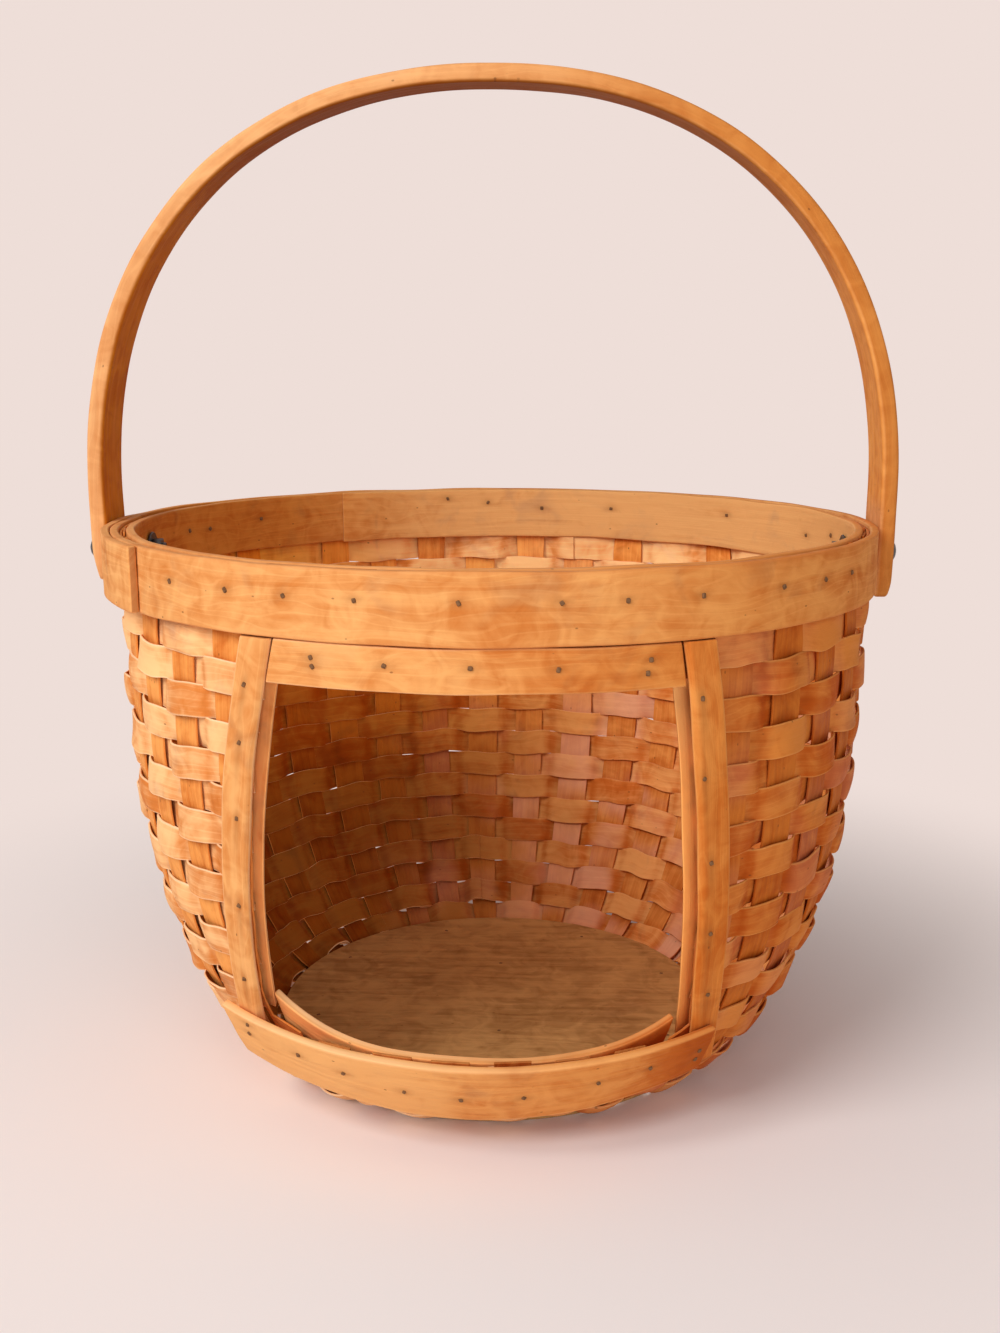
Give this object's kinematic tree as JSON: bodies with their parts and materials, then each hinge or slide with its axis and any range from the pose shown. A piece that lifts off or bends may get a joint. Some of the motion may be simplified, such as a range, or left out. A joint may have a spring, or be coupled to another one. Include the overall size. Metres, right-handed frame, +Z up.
{
  "type": "woven basket",
  "caption": "Round splint basket with flat stakes and weavers, a rim of two bands, a framed window in its front and a bentwood swing handle on two bolts.",
  "frame": {"origin": "centre of the base, on the surface the basket stands on", "axes": "+Z up, the window faces -Y, +X towards the right-hand handle bolt as seen from the window"},
  "size_m": [0.4611, 0.4244, 0.5414],
  "materials": {
    "weaver_wood": "thin split ash weavers, varnished orange tan, satin",
    "stake_wood": "thin split ash stakes, pinkish brown, satin",
    "rim_wood": "bent honey-tan strips with fine grain, worn satin varnish",
    "handle_wood": "bent orange-tan hoop with long grain, satin varnish",
    "floor_wood": "smooth brown board with faint grain, satin",
    "bolt_steel": "dull dark steel",
    "nail_steel": "dull dark cut nails"
  },
  "bodies": {
    "basket": {"lower_floor_disc": "floor_wood", "stake_web": "stake_wood", "upper_floor_disc": "floor_wood", "weaver_row_01": "weaver_wood", "weaver_row_02": "weaver_wood", "weaver_row_03": "weaver_wood", "weaver_row_04": "weaver_wood", "weaver_row_05": "weaver_wood", "weaver_row_06": "weaver_wood", "weaver_row_07": "weaver_wood", "weaver_row_08": "weaver_wood", "weaver_row_09": "weaver_wood", "weaver_row_10": "weaver_wood", "weaver_row_11": "weaver_wood", "weaver_row_12": "weaver_wood", "weaver_row_13": "weaver_wood", "weaver_row_14": "weaver_wood", "weaver_row_15": "weaver_wood", "weaver_row_16": "weaver_wood", "weaver_row_17": "weaver_wood", "weaver_row_18": "weaver_wood", "window_stake_end_1": "stake_wood", "window_stake_end_2": "stake_wood", "window_stake_end_3": "stake_wood", "window_stake_end_4": "stake_wood", "window_stake_end_5": "stake_wood", "window_stake_end_6": "stake_wood", "outer_window_post_left": "rim_wood", "outer_window_post_right": "rim_wood", "inner_window_post_left": "rim_wood", "inner_window_post_right": "rim_wood", "outer_window_head": "rim_wood", "inner_window_head": "rim_wood", "outer_window_sill": "rim_wood", "inner_window_sill": "rim_wood", "outer_rim_band": "rim_wood", "rim_filler": "stake_wood", "inner_rim_band": "rim_wood", "rim_nail_01": "nail_steel", "rim_nail_02": "nail_steel", "rim_nail_03": "nail_steel", "rim_nail_04": "nail_steel", "rim_nail_05": "nail_steel", "rim_nail_06": "nail_steel", "rim_nail_07": "nail_steel", "rim_nail_08": "nail_steel", "rim_nail_09": "nail_steel", "rim_nail_10": "nail_steel", "rim_nail_11": "nail_steel", "rim_nail_12": "nail_steel", "rim_nail_13": "nail_steel", "rim_nail_14": "nail_steel", "rim_nail_15": "nail_steel", "left_pivot_bolt": "bolt_steel", "left_pivot_washer": "bolt_steel", "left_pivot_nut": "bolt_steel", "right_pivot_bolt": "bolt_steel", "right_pivot_washer": "bolt_steel", "right_pivot_nut": "bolt_steel"},
    "handle": {"handle_hoop": "handle_wood"}
  },
  "joints": [
    {"name": "handle_swing", "type": "hinge", "parent": "basket", "child": "handle", "pos_m": [0, 0, 0.285], "axis": [1, 0, 0], "range_deg": [-120, 115]}
  ]
}
